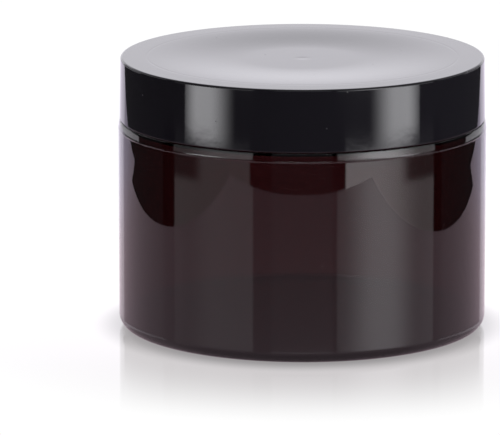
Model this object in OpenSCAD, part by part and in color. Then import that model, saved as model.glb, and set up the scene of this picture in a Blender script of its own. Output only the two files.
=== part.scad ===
// Wide-mouth cream jar with a screw cap and a foam liner, in millimetres.
// The origin is the centre of the base on the surface it stands on, and +Z is up.
// The jar has an 89-400 neck: one right-hand thread at five turns to the inch.

/* [Jar] */
// Height of the whole object with the cap on
overall_height = 69.1; // [60:0.1:110]
// Outside diameter of the jar's straight wall
body_diameter = 93.2; // [93:0.1:98]
// Thickness of the side wall
wall = 1.3; // [1:0.1:1.8]
// Thickness of the base
base_thickness = 1.8; // [1.5:0.1:2.5]
// Outside radius of the heel, where the wall meets the base
heel_radius = 3; // [2.5:0.1:7]
// Radius of the shoulder's curve, which leans in a little from the wall and stops at the ledge under the cap
shoulder_radius = 10; // [8:0.5:14]
// Height of that curve, which is less than its radius, so it meets the ledge at an edge
shoulder_height = 1.9; // [1.4:0.1:2.2]
// Thickness of the ledge between the shoulder and the neck
ledge_thickness = 0.8; // [0.7:0.1:1.3]
// Inside radius where the wall meets the ledge
inner_shoulder = 0.5; // [0.3:0.1:1]
// Height of the hollow under the base
push_up_height = 1.2; // [0.6:0.1:2]
// Width of the flat ring that the jar stands on
standing_ring_width = 3; // [2:0.1:5]
// Diameter of the moulding stub at the centre of the base
base_stub_diameter = 3; // [2:0.1:5]
// Height of that stub
base_stub_height = 0.4; // [0.2:0.05:0.5]

/* [Neck] */
// Outside diameter of the neck between the turns of its thread
neck_diameter = 85.7; // [85.3:0.05:86.1]
// Outside diameter over the thread on the neck
thread_diameter = 88.7; // [88.3:0.05:89.1]
// Height of the neck above the ledge
neck_height = 13.1; // [13.1:0.05:13.9]
// Thickness of the neck's wall
neck_wall = 1.55; // [1.3:0.05:1.8]
// Radius of the neck's top edges
lip_radius = 0.45; // [0.2:0.05:0.6]

/* [Thread] */
// Rise of the thread in one turn
thread_pitch = 5.08; // [5:0.02:5.2]
// Turns of thread on the neck and in the cap
thread_turns = 1.25; // [1:0.05:1.3]
// Width of a thread where it joins its wall
thread_root_width = 2.5; // [2:0.1:2.8]
// Width of a thread at its crest
thread_crest_width = 1; // [0.8:0.1:1.2]
// Distance from the neck's top down to the upper end of its thread
thread_start_depth = 2.9; // [2.8:0.1:3.4]
// Height that the cap's thread lies below the jar's thread
thread_mesh_drop = 2.1; // [2:0.05:2.5]
// Angle over which a thread fades in or out
thread_fade = 25; // [15:1:40]

/* [Cap] */
// Height of the cap
cap_height = 15.7; // [15.3:0.1:15.7]
// Outside diameter of the cap at the bottom of its skirt
cap_diameter = 92.5; // [92.3:0.1:93]
// Amount by which the cap is narrower at its top, on the diameter
cap_draft = 0.5; // [0:0.1:0.8]
// Thickness of the cap's top at its rim
cap_top = 1.7; // [1.5:0.1:2]
// Inside diameter of the skirt between the turns of its thread
skirt_bore = 89.5; // [89.4:0.05:89.8]
// Inside diameter over the cap's thread
cap_thread_bore = 86.6; // [86.5:0.05:86.8]
// Radius of the cap's upper outside edge
cap_edge_radius = 0.5; // [0.4:0.1:1.6]
// Diameter of the shallow dish in the cap's top
dish_diameter = 79; // [70:0.5:84]
// Depth of that dish at its centre
dish_depth = 0.6; // [0.2:0.05:0.8]
// Diameter of the moulding mark at the centre of the dish
cap_mark_diameter = 2.4; // [1.6:0.1:4]
// Depth of that mark
cap_mark_depth = 0.12; // [0.05:0.01:0.2]
// Inside diameter over the bead that keeps the liner in the cap
bead_bore = 87.5; // [87.2:0.05:88]
// Height of that bead
bead_height = 0.9; // [0.6:0.1:1]

/* [Liner] */
// Diameter of the liner disc
liner_diameter = 88.4; // [88.2:0.05:88.6]
// Thickness of the liner disc
liner_thickness = 1; // [0.8:0.05:1.2]
// Gap between the liner and each face it lies against
liner_gap = 0.03; // [0.02:0.01:0.05]

/* [Hidden] */

$fn = 180;
overlap = 0.3;
ring_step = 5;
dome_flat = 0.2;
dome_steps = 8;
bead_depth = 0.45;

body_r = body_diameter / 2;
inner_r = body_r - wall;
inner_heel = heel_radius - wall;

cap_bottom = overall_height - cap_height;
cap_ceiling = overall_height - cap_top;
liner_bottom = cap_ceiling - liner_gap - liner_thickness;
neck_top = liner_bottom - liner_gap;
ledge = neck_top - neck_height;
ledge_under = ledge - ledge_thickness;
shoulder_top = ledge - shoulder_height + shoulder_radius;
neck_r = neck_diameter / 2;
mouth_r = neck_r - neck_wall;

stand_outer = body_r - heel_radius;
stand_inner = stand_outer - standing_ring_width;

thread_r = thread_diameter / 2;
thread_bottom = neck_top - thread_start_depth - thread_turns * thread_pitch;

cap_r = cap_diameter / 2;
cap_top_r = cap_r - cap_draft / 2;
skirt_r = skirt_bore / 2;
cap_thread_r = cap_thread_bore / 2;
cap_lean = atan2(cap_r - cap_top_r, cap_height);
edge_x = cap_top_r - cap_edge_radius * (1 - sin(cap_lean)) / cos(cap_lean);
edge_z = overall_height - cap_edge_radius;
dish_r = dish_diameter / 2;
bead_r = bead_bore / 2;
bead_z = liner_bottom - bead_depth - bead_height / 2;

// Radial line of the jar's outside: a panel with a rounded heel and shoulder.
module rounded_panel(radius, low, high, low_round, high_round) {
    translate([0, low]) square([radius - low_round, low_round]);
    translate([0, low + low_round]) square([radius, high - low - low_round - high_round]);
    translate([0, high - high_round]) square([radius - high_round, high_round]);
    translate([radius - low_round, low + low_round]) circle(low_round);
    translate([radius - high_round, high - high_round]) circle(high_round);
}

// Height, as a share of the whole, of a shallow dome at a share of its radius: flat, then curving down.
function dome_rise(share) = 1 - pow((share - dome_flat) / (1 - dome_flat), 2);

// Radial line of a shallow dome over the centre, standing on the height low.
module dome(radius, low, rise) {
    shares = [for (i = [0 : dome_steps]) dome_flat + (1 - dome_flat) * i / dome_steps];
    polygon(concat(
        [[0, low - overlap], [0, low + rise]],
        [for (share = shares) [radius * share, low + rise * dome_rise(share)]],
        [[radius, low - overlap]]
    ));
}

// Radial section of the neck, with both top edges rounded.
module neck_section() {
    translate([mouth_r, ledge_under]) square([neck_wall, neck_top - ledge_under - lip_radius]);
    translate([mouth_r + lip_radius, ledge]) square([neck_wall - 2 * lip_radius, neck_height]);
    for (x = [mouth_r + lip_radius, neck_r - lip_radius]) {
        translate([x, neck_top - lip_radius]) circle(lip_radius, $fn = 32);
    }
}

// Outline of a thread at one angle: a rounded ridge that rises out of the wall towards crest_r.
function ridge(wall_r, crest_r, size) =
    let (
        side = sign(crest_r - wall_r),
        height = (crest_r - wall_r) * size,
        width = 0.4 + 0.6 * size,
        crest = thread_crest_width / 2 * width,
        root = thread_root_width / 2 * width + overlap / 2,
        flank = crest + (root - crest) * 0.3
    )
    [
        [wall_r - side * overlap, -root],
        [wall_r + height * 0.8, -flank],
        [wall_r + height, -crest * 0.6],
        [wall_r + height, crest * 0.6],
        [wall_r + height * 0.8, flank],
        [wall_r - side * overlap, root]
    ];

// Share of its full size that a thread has at an angle from its lower end.
function thread_size(angle, last) =
    let (near_end = min(angle, last - angle) / thread_fade)
    near_end >= 1 ? 1 : 0.12 + 0.88 * sin(90 * near_end);

// One right-hand thread that winds up from height z.
module thread(wall_r, crest_r, z) {
    last = thread_turns * 360;
    steps = ceil(last / ring_step);
    sides = 6;
    outward = crest_r > wall_r;
    points = [
        for (i = [0 : steps])
            let (angle = last * i / steps)
            for (p = ridge(wall_r, crest_r, thread_size(angle, last)))
                [p[0] * cos(angle), p[0] * sin(angle), z + p[1] + thread_pitch * angle / 360]
    ];
    skin = [
        for (i = [0 : steps - 1])
            for (j = [0 : sides - 1])
                let (
                    a = i * sides + j,
                    b = i * sides + (j + 1) % sides,
                    c = b + sides,
                    d = a + sides
                )
                for (face = [[a, b, c], [a, c, d]])
                    outward ? face : [face[0], face[2], face[1]]
    ];
    first_cap = [for (j = [0 : sides - 1]) outward ? sides - 1 - j : j];
    last_cap = [for (j = [0 : sides - 1]) steps * sides + (outward ? j : sides - 1 - j)];
    polyhedron(points = points, faces = concat([first_cap], skin, [last_cap]), convexity = 6);
}

module jar_body() {
    color([0.30, 0.14, 0.12, 0.75]) {
        rotate_extrude() {
            difference() {
                rounded_panel(body_r, 0, shoulder_top, heel_radius, shoulder_radius);
                translate([0, ledge]) square([body_r, shoulder_radius]);
                difference() {
                    rounded_panel(inner_r, base_thickness, ledge_under, inner_heel, inner_shoulder);
                    dome(stand_inner, base_thickness, push_up_height);
                }
                translate([0, ledge_under - overlap]) square([mouth_r, ledge_thickness + 2 * overlap]);
                dome(stand_inner, 0, push_up_height);
            }
            neck_section();
            translate([0, push_up_height - base_stub_height]) {
                square([base_stub_diameter / 2, base_stub_height + overlap]);
            }
        }
        thread(neck_r, thread_r, thread_bottom);
    }
}

module screw_cap() {
    color([0.06, 0.06, 0.07]) {
        rotate_extrude() {
            difference() {
                union() {
                    polygon([
                        [0, cap_bottom],
                        [cap_r, cap_bottom],
                        [cap_r - (edge_z - cap_bottom) * tan(cap_lean), edge_z],
                        [edge_x, overall_height],
                        [0, overall_height]
                    ]);
                    translate([edge_x, edge_z]) circle(cap_edge_radius);
                }
                square([skirt_r, cap_ceiling]);
                translate([0, overall_height]) mirror([0, 1]) dome(dish_r, 0, dish_depth);
                translate([0, overall_height - dish_depth - cap_mark_depth]) {
                    square([cap_mark_diameter / 2, cap_mark_depth + dish_depth]);
                }
            }
        }
        rotate_extrude() {
            polygon([
                [skirt_r + overlap, bead_z - bead_height / 2],
                [skirt_r, bead_z - bead_height / 2],
                [bead_r, bead_z - bead_height / 6],
                [bead_r, bead_z + bead_height / 6],
                [skirt_r, bead_z + bead_height / 2],
                [skirt_r + overlap, bead_z + bead_height / 2]
            ]);
        }
        thread(skirt_r, cap_thread_r, thread_bottom - thread_mesh_drop);
    }
}

module cap_liner() {
    color([0.93, 0.93, 0.91]) {
        translate([0, 0, liner_bottom]) cylinder(h = liner_thickness, d = liner_diameter);
    }
}

jar_body();
screw_cap();
cap_liner();
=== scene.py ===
import math

import bmesh
import bpy
import numpy as np
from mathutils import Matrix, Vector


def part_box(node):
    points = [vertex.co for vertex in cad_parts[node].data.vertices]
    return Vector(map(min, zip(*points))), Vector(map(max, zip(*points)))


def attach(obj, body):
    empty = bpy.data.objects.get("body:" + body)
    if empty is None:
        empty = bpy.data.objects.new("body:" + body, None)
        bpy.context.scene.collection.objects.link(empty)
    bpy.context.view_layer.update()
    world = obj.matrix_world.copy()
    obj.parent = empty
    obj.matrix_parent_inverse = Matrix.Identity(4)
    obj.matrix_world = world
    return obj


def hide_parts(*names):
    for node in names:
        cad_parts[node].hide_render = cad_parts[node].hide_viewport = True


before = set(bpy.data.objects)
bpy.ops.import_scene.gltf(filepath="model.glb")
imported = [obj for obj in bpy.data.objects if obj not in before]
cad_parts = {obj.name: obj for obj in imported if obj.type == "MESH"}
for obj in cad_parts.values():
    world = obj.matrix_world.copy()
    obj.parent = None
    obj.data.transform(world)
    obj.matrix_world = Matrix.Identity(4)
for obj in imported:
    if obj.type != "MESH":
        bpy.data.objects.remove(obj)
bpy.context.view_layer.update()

# A wide cream jar in dark amber PET with a black screw lid and a foam liner, on a sheet of white acrylic.
# The pieces' lengths are in millimetres and become metres as each mesh is made. The stage is in metres.

MM = 0.001


def box_mm(node):
    """Lowest and highest corner of a CAD node, in millimetres."""
    low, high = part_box(node)
    return low / MM, high / MM


JAR_HIGH = box_mm("jar_body")[1]
CAP_LOW, CAP_HIGH = box_mm("screw_cap")
LINER_LOW, LINER_HIGH = box_mm("cap_liner")

# Jar: the seam is a fine parting line that stands out from the wall, just under the shoulder, and the
# shoulder's lean from the wall is in degrees.
BODY_R = JAR_HIGH.x
WALL = 1.3
BASE = 1.8
HEEL_R = 3.0
SEAM_REACH = 0.06
SEAM_HALF_HEIGHT = 0.25
SEAM_DROP = 0.28
SHOULDER_R = 10.0
SHOULDER_HEIGHT = 1.9
SHOULDER_LEAN = 2.6
INNER_SHOULDER_R = 0.5
THROAT_R = 0.3
LEDGE_THICKNESS = 0.8
PUSH_UP = 1.2
RING_WIDTH = 3.0
STUB_R = 1.5
STUB_HEIGHT = 0.4
NECK_TOP = JAR_HIGH.z
NECK_HEIGHT = 13.1
NECK_R = 42.85
NECK_FILLET_R = 0.5
MOUTH_R = 41.3
LIP_R = 0.45
LEDGE = NECK_TOP - NECK_HEIGHT

# Thread
PITCH = 5.08
TURNS = 1.25
THREAD_FADE = math.radians(25)
THREAD_HALF_WIDTH = 1.2
CREST_HALF_WIDTH = 0.3
JAR_THREAD_DEPTH = 1.45
CAP_THREAD_DEPTH = 1.4
THREAD_START_DEPTH = 2.9
THREAD_MESH_DROP = 2.1
JAR_THREAD_START = NECK_TOP - THREAD_START_DEPTH - TURNS * PITCH
CAP_THREAD_START = JAR_THREAD_START - THREAD_MESH_DROP

# Lid
CAP_BOTTOM = CAP_LOW.z
CAP_TOP = CAP_HIGH.z
CAP_R = CAP_HIGH.x
CAP_DRAFT = 0.25
CAP_TOP_R = CAP_R - CAP_DRAFT
CAP_EDGE_R = 0.5
CAP_LIP_R = 0.2
INNER_LIP_R = 0.25
CAP_THICKNESS = 1.7
CAP_CEILING = CAP_TOP - CAP_THICKNESS
CEILING_CORNER_R = 0.2
SKIRT_R = 44.75
DISH_FLAT_R = 14.0
DISH_R = 41.0
DISH_DEPTH = 0.6
MARK_R = 1.0
MARK_DEPTH = 0.01
MARK_SLOPE = 0.15
GROOVE_R = 39.3
GROOVE_DEPTH = 0.012
GROOVE_WIDTH = 0.2
BEAD_REACH = 1.0
BEAD_HEIGHT = 0.9
BEAD_DROP = 0.9
BEAD_Z = LINER_LOW.z - BEAD_DROP

# Liner
LINER_R = LINER_HIGH.x
LINER_EDGE = 0.15

SEGMENTS = 240


# ---------------------------------------------------------------- mesh helpers

def arc(centre_r, centre_z, radius, start, end, steps):
    """Points of an arc in the radial plane, from one angle to another, in degrees."""
    angles = np.radians(np.linspace(start, end, steps + 1))
    return [(centre_r + radius * math.cos(a), centre_z + radius * math.sin(a)) for a in angles]


def rise(share):
    """Height of a shallow dome, as a share of the whole, at a share of its radius."""
    flat = 0.2
    return 1 - (max(share - flat, 0) / (1 - flat)) ** 2


def smooth(x):
    """Eases from 0 to 1."""
    x = np.clip(x, 0, 1)
    return x * x * (3 - 2 * x)


def thread_height(angle, z, start, depth):
    """How far a thread stands out of its wall at an angle and a height."""
    height = np.zeros_like(angle)
    last = TURNS * 2 * math.pi
    for lap in range(math.ceil(TURNS)):
        along = angle + lap * 2 * math.pi
        middle = start + PITCH * along / (2 * math.pi)
        across = (np.abs(z - middle) - CREST_HALF_WIDTH) / (THREAD_HALF_WIDTH - CREST_HALF_WIDTH)
        ends = smooth(along / THREAD_FADE) * smooth((last - along) / THREAD_FADE)
        height = np.maximum(height, depth * ends * (1 - smooth(across)))
    return height


def lathe(name, outline, reach=None):
    """A closed solid turned about Z from an outline that starts and ends on the axis.
    reach(angle, radius, z) gives how far each point moves outwards."""
    rings = np.array(outline[1:-1])
    angles = np.arange(SEGMENTS) * 2 * math.pi / SEGMENTS
    angle, radius = np.meshgrid(angles, rings[:, 0])
    z = np.repeat(rings[:, 1:2], SEGMENTS, axis=1)
    if reach:
        radius = radius + reach(angle, radius, z)
    points = np.stack([radius * np.cos(angle), radius * np.sin(angle), z], axis=-1).reshape(-1, 3)
    points = np.vstack([[0, 0, outline[0][1]], points, [0, 0, outline[-1][1]]]) * MM
    faces = []
    last = len(points) - 1
    last_ring = 1 + (len(rings) - 1) * SEGMENTS
    for i in range(SEGMENTS):
        j = (i + 1) % SEGMENTS
        faces.append((0, 1 + j, 1 + i))
        faces.append((last, last_ring + i, last_ring + j))
        for k in range(len(rings) - 1):
            low = 1 + k * SEGMENTS
            high = low + SEGMENTS
            faces.append((low + i, low + j, high + j, high + i))
    mesh = bpy.data.meshes.new(name)
    mesh.from_pydata(points.tolist(), [], faces)
    work = bmesh.new()
    work.from_mesh(mesh)
    bmesh.ops.recalc_face_normals(work, faces=work.faces)
    work.to_mesh(mesh)
    work.free()
    mesh.polygons.foreach_set("use_smooth", [True] * len(mesh.polygons))
    piece = bpy.data.objects.new(name, mesh)
    bpy.context.scene.collection.objects.link(piece)
    return piece


# -------------------------------------------------------------- node helpers

class Nodes:
    """Short calls for building a node tree."""

    def __init__(self, tree):
        self.tree = tree
        tree.nodes.clear()

    def add(self, kind, inputs=None, **settings):
        """Adds a node. An input given as a socket is linked, and any other value is set on the input."""
        node = self.tree.nodes.new(kind)
        for key, value in settings.items():
            setattr(node, key, value)
        for key, value in (inputs or {}).items():
            if isinstance(value, bpy.types.NodeSocket):
                self.tree.links.new(value, node.inputs[key])
            else:
                node.inputs[key].default_value = value
        return node

    def math(self, operation, a, b=0.0, c=0.0):
        return self.add("ShaderNodeMath", {0: a, 1: b, 2: c}, operation=operation).outputs[0]

    def mix(self, share, a, b):
        """The number a where share is 0, b where it is 1."""
        return self.add("ShaderNodeMix", {0: share, 2: a, 3: b}).outputs[0]

    def mix_colour(self, share, a, b):
        """The colour a where share is 0, b where it is 1."""
        return self.add("ShaderNodeMix", {0: share, 6: a, 7: b}, data_type="RGBA").outputs[2]

    def ease(self, value, low, high, to_low=0.0, to_high=1.0):
        """Eases value from to_low at low to to_high at high."""
        inputs = {"Value": value, "From Min": low, "From Max": high, "To Min": to_low, "To Max": to_high}
        return self.add("ShaderNodeMapRange", inputs, interpolation_type="SMOOTHSTEP").outputs[0]

    def noise(self, vector, scale, detail=2.0, roughness=0.5):
        inputs = {"Vector": vector, "Scale": scale, "Detail": detail, "Roughness": roughness}
        return self.add("ShaderNodeTexNoise", inputs).outputs["Fac"]

    def stretch(self, vector, scale):
        return self.add("ShaderNodeMapping", {"Vector": vector, "Scale": scale}).outputs[0]

    def bump(self, height, distance):
        inputs = {"Height": height, "Distance": distance, "Strength": 1.0}
        return self.add("ShaderNodeBump", inputs).outputs[0]


def new_material(name):
    material = bpy.data.materials.new(name)
    material.use_nodes = True
    return material, Nodes(material.node_tree)


def specks(nodes, place, scale, size):
    """1 on scattered small dots, 0 elsewhere."""
    dots = nodes.add("ShaderNodeTexVoronoi", {"Vector": place, "Scale": scale}, feature="F1")
    return nodes.ease(dots.outputs["Distance"], size * 1.6, size)


# ------------------------------------------------------------------ materials

def amber_pet():
    """Dark amber PET: polished, with the slight waves of blow moulding, scuffs and specks of dust."""
    material, nodes = new_material("amber_pet")
    place = nodes.add("ShaderNodeTexCoord").outputs["Object"]
    waves = nodes.noise(nodes.stretch(place, (1, 1, 0.35)), 55.0, 1.0)
    scuffs = nodes.ease(nodes.noise(nodes.stretch(place, (1, 1, 0.12)), 700.0, 3.0, 0.6), 0.68, 0.80)
    dusty = nodes.ease(nodes.noise(place, 30.0), 0.45, 0.6)
    dust = nodes.math("MULTIPLY", specks(nodes, place, 210.0, 0.035), dusty)
    haze = nodes.noise(place, 40.0, 3.0)
    marks = nodes.math("MULTIPLY_ADD", scuffs, 0.06, nodes.math("MULTIPLY", dust, 0.2))
    roughness = nodes.math("ADD", nodes.math("MULTIPLY_ADD", haze, 0.02, 0.01), marks)
    shader = nodes.add("ShaderNodeBsdfPrincipled", {
        "Base Color": (1, 1, 1, 1),
        "Roughness": roughness,
        "IOR": 1.575,
        "Transmission Weight": 1.0,
        "Normal": nodes.bump(waves, 0.00004),
    })
    absorb = nodes.add("ShaderNodeVolumeAbsorption", {
        "Color": (0.915, 0.885, 0.885, 1),
        "Density": 20000.0,
    })
    nodes.add("ShaderNodeOutputMaterial", {"Surface": shader.outputs[0], "Volume": absorb.outputs[0]})
    return material


def black_lid_plastic():
    """Smooth gloss black polypropylene with faint hairlines, a slight mould texture and dust."""
    material, nodes = new_material("black_lid_plastic")
    place = nodes.add("ShaderNodeTexCoord").outputs["Object"]
    peel = nodes.noise(place, 420.0, 2.0)
    hairlines = nodes.ease(nodes.noise(nodes.stretch(place, (1, 0.06, 1)), 1500.0, 2.0, 0.6), 0.64, 0.76)
    cloud = nodes.noise(place, 60.0, 3.0)
    dust = specks(nodes, place, 160.0, 0.03)
    roughness = nodes.math("MULTIPLY_ADD", cloud, 0.04, 0.03)
    roughness = nodes.math("MULTIPLY_ADD", hairlines, 0.05, roughness)
    roughness = nodes.math("MULTIPLY_ADD", dust, 0.25, roughness)
    shader = nodes.add("ShaderNodeBsdfPrincipled", {
        "Base Color": nodes.mix_colour(dust, (0.0130, 0.0126, 0.0162, 1), (0.05, 0.05, 0.055, 1)),
        "Roughness": roughness,
        "IOR": 1.49,
        "Normal": nodes.bump(peel, 0.000004),
    })
    nodes.add("ShaderNodeOutputMaterial", {"Surface": shader.outputs[0]})
    return material


def liner_foam():
    """White polyethylene foam: a pebbled skin on its faces, open cells round its edge."""
    material, nodes = new_material("liner_foam")
    place = nodes.add("ShaderNodeTexCoord").outputs["Object"]
    cells = nodes.add("ShaderNodeTexVoronoi", {"Vector": place, "Scale": 2600.0}).outputs["Distance"]
    mottle = nodes.noise(place, 160.0, 4.0)
    shader = nodes.add("ShaderNodeBsdfPrincipled", {
        "Base Color": nodes.mix_colour(mottle, (0.80, 0.80, 0.77, 1), (0.88, 0.88, 0.86, 1)),
        "Roughness": nodes.math("MULTIPLY_ADD", cells, 0.2, 0.42),
        "IOR": 1.5,
        "Normal": nodes.bump(cells, 0.00004),
    })
    nodes.add("ShaderNodeOutputMaterial", {"Surface": shader.outputs[0]})
    return material


# --------------------------------------------------------------------- pieces

def jar_outside():
    """The jar's outline from the centre under its base, up the wall, to the foot of its neck."""
    panel_r = BODY_R - SEAM_REACH
    ring_outer = BODY_R - HEEL_R
    ring_inner = ring_outer - RING_WIDTH
    heel_r = ring_outer - SEAM_REACH
    stub_z = PUSH_UP - STUB_HEIGHT
    outline = [(0, stub_z), (STUB_R - 0.2, stub_z), (STUB_R, stub_z + 0.1), (STUB_R + 0.1, PUSH_UP - 0.05)]
    outline += [(ring_inner * s, PUSH_UP * rise(s)) for s in np.linspace(0.1, 0.99, 16)]
    outline += [(ring_inner + 0.3, 0), (heel_r, 0)]
    outline += arc(heel_r, HEEL_R, HEEL_R, -84, 0, 16)

    shoulder_z = LEDGE - SHOULDER_HEIGHT
    seam_z = shoulder_z - SEAM_DROP
    outline += [(panel_r, z) for z in np.linspace(HEEL_R + 0.1, seam_z - 0.4, 8)]
    outline += [
        (panel_r + SEAM_REACH * float(smooth(1 - abs(s))), seam_z + SEAM_HALF_HEIGHT * s)
        for s in np.linspace(-1, 1, 13)
    ]

    lean = math.radians(SHOULDER_LEAN)
    middle = panel_r - SHOULDER_R * math.cos(lean), shoulder_z - SHOULDER_R * math.sin(lean)
    end = math.degrees(math.asin(SHOULDER_HEIGHT / SHOULDER_R + math.sin(lean))) - 0.3
    outline += arc(*middle, SHOULDER_R, SHOULDER_LEAN, end, 14)
    edge_r = outline[-1][0]
    outline += [(edge_r - 0.04, LEDGE - 0.03), (edge_r - 0.12, LEDGE), (edge_r - 1.0, LEDGE)]
    return outline


def jar_neck():
    """The outline of the neck: its foot, outer wall and lip, and its bore down to the ledge's underside."""
    outline = arc(NECK_R + NECK_FILLET_R, LEDGE + NECK_FILLET_R, NECK_FILLET_R, 270, 180, 5)
    outline += [(NECK_R, z) for z in np.linspace(LEDGE + 0.7, NECK_TOP - LIP_R - 0.1, 72)]
    outline += arc(NECK_R - LIP_R, NECK_TOP - LIP_R, LIP_R, 0, 90, 6)
    outline += arc(MOUTH_R + LIP_R, NECK_TOP - LIP_R, LIP_R, 90, 180, 6)
    ceiling = LEDGE - LEDGE_THICKNESS
    outline += [(MOUTH_R, z) for z in np.linspace(NECK_TOP - 1, ceiling + 2 * THROAT_R, 6)]
    return outline + arc(MOUTH_R + THROAT_R, ceiling + THROAT_R, THROAT_R, 180, 250, 4)


def jar_inside():
    """The jar's outline from under the ledge, down the inner wall, to the centre of its floor."""
    inner_r = BODY_R - WALL
    inner_heel = HEEL_R - WALL
    ring_inner = BODY_R - HEEL_R - RING_WIDTH
    corner_r = inner_r - INNER_SHOULDER_R
    corner_z = LEDGE - LEDGE_THICKNESS - INNER_SHOULDER_R
    heel_z = BASE + inner_heel
    outline = arc(corner_r, corner_z, INNER_SHOULDER_R, 86, 0, 12)
    outline += [(inner_r, z) for z in np.linspace(corner_z - 0.1, heel_z + 0.1, 8)]
    outline += arc(inner_r - inner_heel, heel_z, inner_heel, 0, -86, 12)
    return outline + [(ring_inner * s, BASE + PUSH_UP * rise(s)) for s in np.linspace(0.99, 0.0, 18)]


def jar_reach(angle, radius, z):
    """How far the jar's thread stands out of its neck."""
    on_neck = (np.abs(radius - NECK_R) < 0.01) & (z > LEDGE + 0.6) & (z < NECK_TOP - LIP_R)
    return np.where(on_neck, thread_height(angle, z, JAR_THREAD_START, JAR_THREAD_DEPTH), 0)


def cap_outline():
    """The lid's radial outline: dished top, outside, skirt edge, inner wall, bead and ceiling.
    The side has a ring close to each of its arcs, so that its smooth shading stays straight."""
    lean = math.atan2(CAP_DRAFT, CAP_TOP - CAP_BOTTOM)
    edge_x = CAP_TOP_R - CAP_EDGE_R * (1 - math.sin(lean)) / math.cos(lean)
    floor_z = CAP_TOP - DISH_DEPTH
    mark_z = floor_z - MARK_DEPTH
    mark = [(0, mark_z), (MARK_R - MARK_SLOPE, mark_z), (MARK_R + MARK_SLOPE, floor_z)]
    radii = np.concatenate([
        np.linspace(3, DISH_FLAT_R, 4), np.linspace(DISH_FLAT_R + 1, GROOVE_R - 0.8, 24),
        np.linspace(GROOVE_R - 0.5, GROOVE_R + 0.5, 11), [DISH_R],
    ])
    shape = DISH_DEPTH * smooth((radii - DISH_FLAT_R) / (DISH_R - DISH_FLAT_R))
    shape -= GROOVE_DEPTH * np.exp(-((radii - GROOVE_R) / GROOVE_WIDTH) ** 2)
    dish = [(r, floor_z + s) for r, s in zip(radii, shape)]
    rim = [(DISH_R + 1.2, CAP_TOP), (edge_x - 0.3, CAP_TOP)]
    edge = arc(edge_x, CAP_TOP - CAP_EDGE_R, CAP_EDGE_R, 90, math.degrees(lean), 10)
    side = [
        (CAP_TOP_R + CAP_DRAFT * s, CAP_TOP - (CAP_TOP - CAP_BOTTOM) * s)
        for s in (0.036, 0.3, 0.6, 0.982)
    ]
    lip_x = CAP_R - CAP_LIP_R * (1 + math.sin(lean)) / math.cos(lean)
    lip = arc(lip_x, CAP_BOTTOM + CAP_LIP_R, CAP_LIP_R, math.degrees(lean), -90, 8)
    lip += arc(SKIRT_R + INNER_LIP_R, CAP_BOTTOM + INNER_LIP_R, INNER_LIP_R, 270, 180, 4)
    wall = [(SKIRT_R, z) for z in np.linspace(CAP_BOTTOM + 0.4, BEAD_Z - BEAD_HEIGHT / 2 - 0.05, 64)]
    bead = [
        (SKIRT_R - BEAD_REACH * math.sin(math.pi * s) ** 1.5, BEAD_Z + BEAD_HEIGHT * (s - 0.5))
        for s in np.linspace(0, 1, 11)
    ]
    corner = arc(SKIRT_R - CEILING_CORNER_R, CAP_CEILING - CEILING_CORNER_R, CEILING_CORNER_R, 0, 90, 4)
    ceiling = [(r, CAP_CEILING) for r in (44.0, 36.0, 24.0, 12.0, 3.0, 0.0)]
    return mark + dish + rim + edge + side + lip + wall + bead + corner + ceiling


def cap_reach(angle, radius, z):
    """How far the lid's thread stands inwards out of its skirt, as a negative length."""
    on_wall = (np.abs(radius - SKIRT_R) < 0.01) & (z > CAP_BOTTOM + 0.3) & (z < BEAD_Z - BEAD_HEIGHT / 2)
    return np.where(on_wall, -thread_height(angle, z, CAP_THREAD_START, CAP_THREAD_DEPTH), 0)


def liner_outline():
    """The liner's radial outline: a thin disc with eased edges."""
    low, high, edge = LINER_LOW.z, LINER_HIGH.z, LINER_EDGE
    under = [(r, low) for r in (0, 12, 24, 34, 41, LINER_R - edge - 0.1)]
    over = [(r, high) for r in (LINER_R - edge - 0.1, 41, 34, 24, 12, 0)]
    lower = arc(LINER_R - edge, low + edge, edge, -90, 0, 4)
    upper = arc(LINER_R - edge, high - edge, edge, 0, 90, 4)
    return under + lower + upper + over


def finish_piece(piece, node, body, material):
    """Gives a piece its material and body, in place of the plain CAD node."""
    piece.data.materials.append(material)
    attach(piece, body)
    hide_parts(node)


def make_pieces():
    jar = lathe("jar", jar_outside() + jar_neck() + jar_inside(), jar_reach)
    lid = lathe("lid", cap_outline(), cap_reach)
    liner = lathe("liner", liner_outline())
    finish_piece(jar, "jar_body", "jar", amber_pet())
    finish_piece(lid, "screw_cap", "cap", black_lid_plastic())
    finish_piece(liner, "cap_liner", "liner", liner_foam())


# ---------------------------------------------------------------------- stage

# The sheet, in metres: its front edge bows back towards its sides, and it is a step wider behind the jar.
SHEET_LEFT = -0.181
SHEET_RIGHT = 0.175
SHEET_FRONT = -0.250
SHEET_BOW = 1.45
SHEET_STEP = 0.033
SHEET_STEP_FRONT = 0.118
SHEET_STEP_BACK = 0.124
SHEET_BACK = 2.5
PLAIN_WHITE = 1.02


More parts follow.
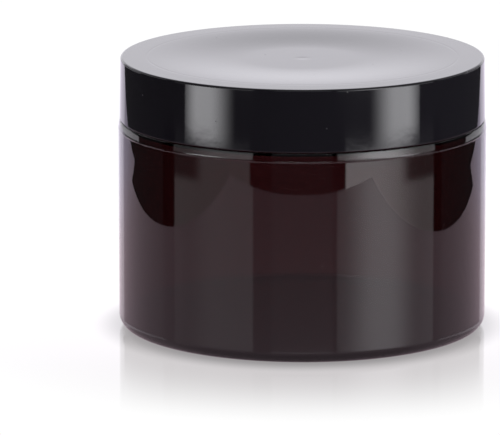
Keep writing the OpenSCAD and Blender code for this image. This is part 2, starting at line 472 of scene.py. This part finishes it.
def white_acrylic():
    """White acrylic that glows as a lit sheet does and mirrors what stands on it. Its glow is painted
    light, brighter towards the back, with a painted contact shadow right under the jar. To the camera it
    fades to plain white away from the jar."""
    material, nodes = new_material("white_acrylic")
    place = nodes.add("ShaderNodeNewGeometry").outputs["Position"]
    x, y, _ = nodes.add("ShaderNodeSeparateXYZ", {"Vector": place}).outputs
    flat = nodes.add("ShaderNodeCombineXYZ", {"X": x, "Y": y})
    away = nodes.add("ShaderNodeVectorMath", {0: flat.outputs[0]}, operation="LENGTH").outputs["Value"]
    # Painted light: the sheet's glow grows brighter towards the back.
    depth_light = nodes.ease(y, -0.25, 0.15, 0.40, 0.95)
    # Painted contact shadow: the glow is darker right under the jar.
    painted_contact_shadow = nodes.ease(away, 0.044, 0.055, 0.50, 1.0)
    camera_ray = nodes.add("ShaderNodeLightPath").outputs["Is Camera Ray"]
    # Painted light: the sheet glows brighter to the camera than in what the jar mirrors.
    lift = nodes.math("MULTIPLY_ADD", camera_ray, 0.28, 1.0)
    # The painted glow that the jar mirrors is tinted mauve, pinker in front and bluer towards the back.
    mauve = nodes.mix_colour(nodes.ease(y, 0.06, 0.2), (1.0, 0.76, 0.88, 1), (1.0, 0.88, 1.12, 1))
    glow = nodes.add("ShaderNodeEmission", {
        "Color": nodes.mix_colour(camera_ray, mauve, (1.0, 0.965, 0.98, 1)),
        "Strength": nodes.math("MULTIPLY", nodes.math("MULTIPLY", depth_light, painted_contact_shadow), lift),
    })
    mirror = nodes.add("ShaderNodeBsdfGlossy", {"Color": (1, 1, 1, 1), "Roughness": 0.0})
    fresnel = nodes.add("ShaderNodeFresnel", {"IOR": 1.49})
    glossy = fresnel.outputs[0]
    sheet = nodes.add("ShaderNodeMixShader", {0: glossy, 1: glow.outputs[0], 2: mirror.outputs[0]})
    white = nodes.add("ShaderNodeEmission", {"Color": (1, 1, 1, 1), "Strength": PLAIN_WHITE})
    fade = nodes.math("MULTIPLY", nodes.ease(away, 0.050, 0.112), camera_ray)
    seen = nodes.add("ShaderNodeMixShader", {0: fade, 1: sheet.outputs[0], 2: white.outputs[0]})
    nodes.add("ShaderNodeOutputMaterial", {"Surface": seen.outputs[0]})
    return material


def make_sheet():
    """The sheet that the jar stands on. Past its outline the wall mirrors the softboxes and the dark."""
    mesh = bpy.data.meshes.new("acrylic_sheet")
    corners = [(x, SHEET_FRONT + SHEET_BOW * x * x, 0) for x in np.linspace(SHEET_LEFT, SHEET_RIGHT, 25)]
    side = [(0, SHEET_STEP_FRONT), (SHEET_STEP, SHEET_STEP_BACK), (SHEET_STEP, SHEET_BACK)]
    corners += [(SHEET_RIGHT + out, y, 0) for out, y in side]
    corners += [(SHEET_LEFT - out, y, 0) for out, y in reversed(side)]
    mesh.from_pydata(corners, [], [tuple(range(len(corners)))])
    sheet = bpy.data.objects.new("acrylic_sheet", mesh)
    bpy.context.scene.collection.objects.link(sheet)
    mesh.materials.append(white_acrylic())


def make_world():
    """White to the camera and through the jar. What the surfaces mirror is a bright backdrop behind, a low
    light towards the back just under the horizon, a pale band above it elsewhere, and dark surroundings."""
    world = bpy.data.worlds.new("studio")
    bpy.context.scene.world = world
    world.use_nodes = True
    nodes = Nodes(world.node_tree)
    way = nodes.add("ShaderNodeTexCoord").outputs["Generated"]
    x, y, z = nodes.add("ShaderNodeSeparateXYZ", {"Vector": way}).outputs
    squares = nodes.math("ADD", nodes.math("MULTIPLY", x, x), nodes.math("MULTIPLY", y, y))
    backward = nodes.math("DIVIDE", y, nodes.math("SQRT", squares))

    backdrop = nodes.math("MULTIPLY", nodes.ease(z, 0.10, 0.40, 1.50, 0.78), nodes.ease(z, -0.01, 0.01))
    dark = nodes.ease(z, 0.0, 0.5, 0.03, 0.25)
    from_band = nodes.math("ABSOLUTE", nodes.math("SUBTRACT", z, 0.29))
    band = nodes.ease(from_band, 0.06, 0.05, 0.0, 1.5)
    behind = nodes.ease(backward, 0.872, 0.886)
    shine = nodes.mix(behind, nodes.math("MAXIMUM", dark, band), backdrop)
    low = nodes.math("MULTIPLY", nodes.ease(z, -0.02, -0.04), nodes.ease(z, -0.160, -0.154))
    low = nodes.math("MULTIPLY", low, nodes.ease(backward, 0.53, 0.55, 0.0, 0.9))
    shine = nodes.math("MAXIMUM", shine, low)

    path = nodes.add("ShaderNodeLightPath")
    plain = nodes.math("MAXIMUM", path.outputs["Is Camera Ray"], path.outputs["Is Transmission Ray"])
    background = nodes.add("ShaderNodeBackground", {
        "Color": nodes.mix_colour(plain, (1.0, 0.985, 1.05, 1), (1.0, 1.0, 1.0, 1)),
        "Strength": nodes.mix(plain, shine, PLAIN_WHITE),
    })
    nodes.add("ShaderNodeOutputWorld", {"Surface": background.outputs[0]})


# The softboxes: distance and heights in metres, directions in degrees from the front.
# One part of a softbox's glow gives way to the next, and its tint changes, between two heights.
SOFTBOX_DISTANCE = 0.6
SOFTBOX_LOW = -0.115
SOFTBOX_HIGH = 0.75
SOFTBOX_SPAN = 18, 94
TINT_CHANGE = -0.066, -0.062
LOW_TO_STRIP = -0.047, -0.037
STRIP_TO_WIDE = -0.016, -0.012
EDGE_SOFTNESS = 1.0
WIDE_PEAK = 46.0, 52.0
WIDE_FALL = 76.0
STRIP_PEAK = 59.0, 66.0
STRIP_LEVEL = 5.8


def between(nodes, value, limits):
    """1 between two limits and 0 outside them, with a short fade."""
    low, high = limits
    rising = nodes.ease(value, low - EDGE_SOFTNESS, low + EDGE_SOFTNESS)
    falling = nodes.ease(value, high + EDGE_SOFTNESS, high - EDGE_SOFTNESS)
    return nodes.math("MULTIPLY", rising, falling)


def wide_glow(nodes, angle, z, edges, levels):
    """The part from about the sheet's level up. It is dim high up, so that the lid's top doesn't glare when
    it is seen from behind."""
    start, peak, end = levels
    glow = nodes.mix(nodes.ease(angle, edges[0], WIDE_PEAK[0]), start, peak)
    glow = nodes.mix(nodes.ease(angle, WIDE_PEAK[1], WIDE_FALL), glow, end)
    glow = nodes.math("MULTIPLY", glow, between(nodes, angle, edges))
    return nodes.math("MULTIPLY", glow, nodes.ease(z, 0.13, 0.22, 1.0, 0.14))


def strip_glow(nodes, angle):
    """The narrow bright strip that the lid's side mirrors."""
    rising = nodes.ease(angle, 40.0, STRIP_PEAK[0])
    falling = nodes.ease(angle, 80.0, STRIP_PEAK[1])
    strip = nodes.math("MULTIPLY", nodes.math("MULTIPLY", rising, falling), nodes.ease(angle, 76.5, 75.5))
    return nodes.math("MULTIPLY_ADD", strip, STRIP_LEVEL, 0.03)


def low_glow(nodes, angle, z, edges, levels):
    """The lowest part, which the jar's wall mirrors. It is dimmer near its top, towards the side."""
    _, peak, end = levels
    across = nodes.ease(angle, 45.0, 80.0, peak * 0.45, end * 0.3 + 0.35)
    glow = nodes.math("MULTIPLY", between(nodes, angle, edges), across)
    dim = nodes.math("MULTIPLY", nodes.ease(angle, 60.0, 70.0), nodes.ease(z, -0.074, -0.070))
    return nodes.math("MULTIPLY", glow, nodes.math("SUBTRACT", 1.0, nodes.math("MULTIPLY", dim, 0.8)))


def softbox_light(name, side, edges, low_edges, levels):
    """The glow of a softbox, by height and by direction, in three parts from the bottom up: low, strip
    and wide. The wide part shines between edges and the low part between low_edges. The levels are the
    wide part's brightness at its front edge, its peak and its far edge, and set the low part's too."""
    material, nodes = new_material(name)
    place = nodes.add("ShaderNodeNewGeometry").outputs["Position"]
    x, y, z = nodes.add("ShaderNodeSeparateXYZ", {"Vector": place}).outputs
    x = nodes.math("MULTIPLY", x, float(side))
    angle = nodes.math("DEGREES", nodes.math("ARCTAN2", x, nodes.math("MULTIPLY", y, -1.0)))
    low = low_glow(nodes, angle, z, low_edges, levels)
    glow = nodes.mix(nodes.ease(z, *LOW_TO_STRIP), low, strip_glow(nodes, angle))
    glow = nodes.mix(nodes.ease(z, *STRIP_TO_WIDE), glow, wide_glow(nodes, angle, z, edges, levels))
    tint = nodes.mix_colour(nodes.ease(z, *TINT_CHANGE), (1.04, 0.97, 1.0, 1), (1.0, 0.995, 1.03, 1))
    emission = nodes.add("ShaderNodeEmission", {"Color": tint, "Strength": glow})
    nodes.add("ShaderNodeOutputMaterial", {"Surface": emission.outputs[0]})
    return material


def softbox(name, side, edges, low_edges, levels):
    """A tall curved panel of light on one side of the jar, 1 for the right and -1 for the left. The camera
    doesn't see it."""
    angles = [side * math.radians(a) for a in np.linspace(*SOFTBOX_SPAN, 24)]
    points = [
        (SOFTBOX_DISTANCE * math.sin(a), -SOFTBOX_DISTANCE * math.cos(a), z)
        for z in (SOFTBOX_LOW, SOFTBOX_HIGH) for a in angles
    ]
    count = len(angles)
    faces = [(i, i + 1, count + i + 1, count + i) for i in range(count - 1)]
    mesh = bpy.data.meshes.new(name)
    mesh.from_pydata(points, [], faces)
    mesh.materials.append(softbox_light(name, side, edges, low_edges, levels))
    panel = bpy.data.objects.new(name, mesh)
    panel.visible_camera = False
    panel.visible_transmission = False
    bpy.context.scene.collection.objects.link(panel)


# The camera: its place in metres, its tilt down and its turn to the left in degrees, and its lens.
CAMERA_PLACE = 0, -1.451, 0.3387
CAMERA_TILT = 12.113
CAMERA_TURN = 0.523
LENS = 420.3


def make_camera():
    data = bpy.data.cameras.new("camera")
    data.lens = LENS
    data.sensor_width = 36.0
    data.clip_end = 50.0
    camera = bpy.data.objects.new("camera", data)
    camera.location = CAMERA_PLACE
    camera.rotation_euler = (math.radians(90 - CAMERA_TILT), 0, math.radians(CAMERA_TURN))
    bpy.context.scene.collection.objects.link(camera)
    bpy.context.scene.camera = camera


make_camera()
make_sheet()
make_world()
make_pieces()
softbox("right_softbox", 1, edges=(21.0, 87.0), low_edges=(26.0, 87.0), levels=(0.9, 4.3, 0.9))
softbox("left_softbox", -1, edges=(29.6, 84.0), low_edges=(31.5, 84.0), levels=(1.0, 1.0, 0.35))
bpy.context.scene.view_settings.view_transform = "Standard"
